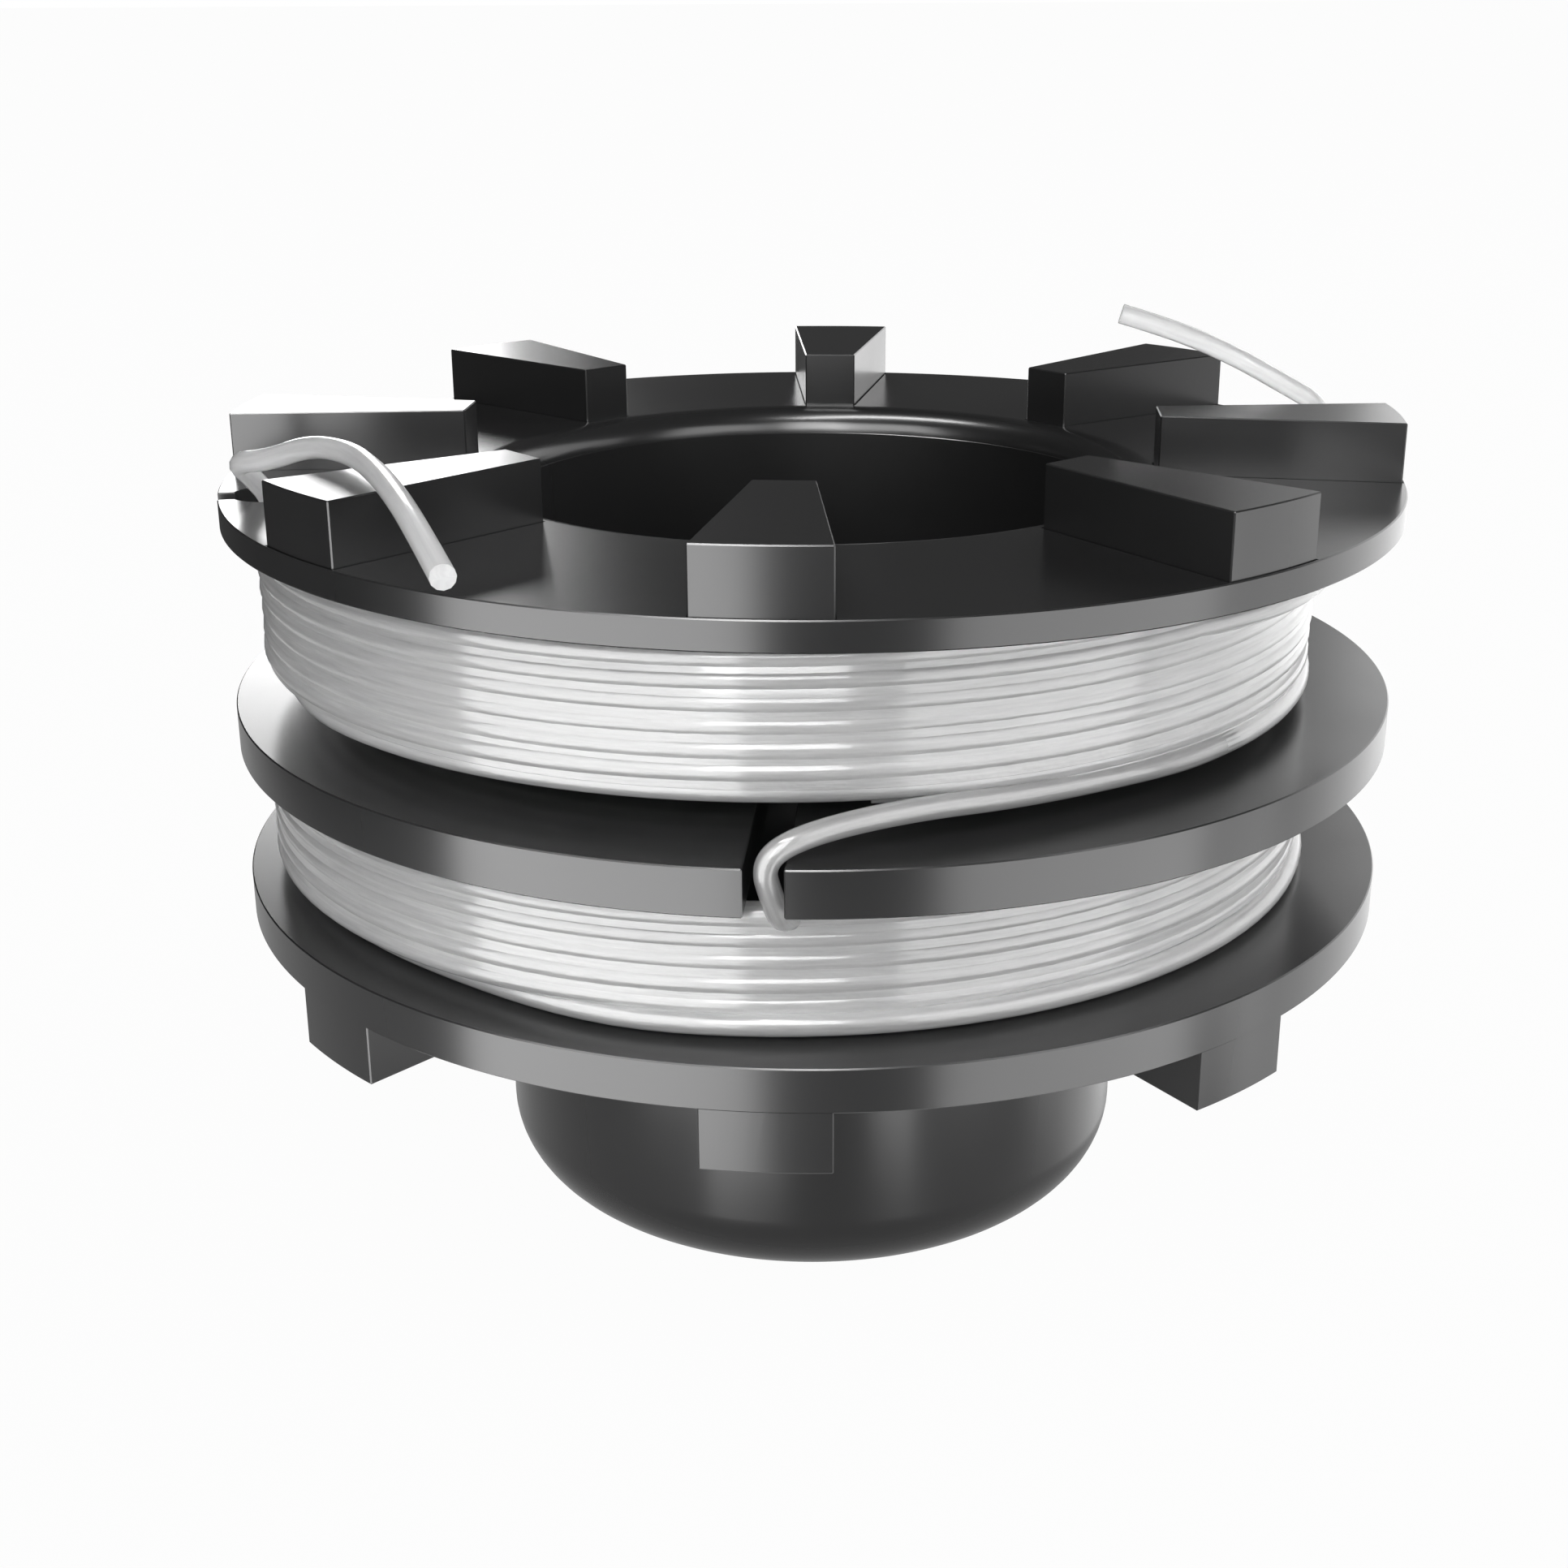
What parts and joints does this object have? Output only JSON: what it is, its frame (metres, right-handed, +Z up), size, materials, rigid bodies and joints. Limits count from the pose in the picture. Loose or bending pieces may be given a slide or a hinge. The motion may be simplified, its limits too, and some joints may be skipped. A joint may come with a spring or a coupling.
{
  "type": "trimmer line spool",
  "caption": "Round two-chamber spool with drive lugs and a bump button, wound with nylon trimming line whose two ends leave by keyholes in the top flange.",
  "frame": {"origin": "on the spool's axis at the lowest face of the bump button, which it stands on", "axes": "+Z up the spool's axis, out of the open bore; -Y is the side with the middle flange's slot"},
  "size_m": [0.08, 0.0879, 0.0631],
  "materials": {
    "spool_plastic": "moulded black plastic, satin gloss",
    "nylon_line": "clear-white extruded nylon, glossy"
  },
  "bodies": {
    "root": {"spool": "spool_plastic", "upper_winding": "nylon_line", "lower_winding": "nylon_line", "left_line_end": "nylon_line", "right_line_end": "nylon_line", "crossover_line": "nylon_line"}
  },
  "joints": []
}
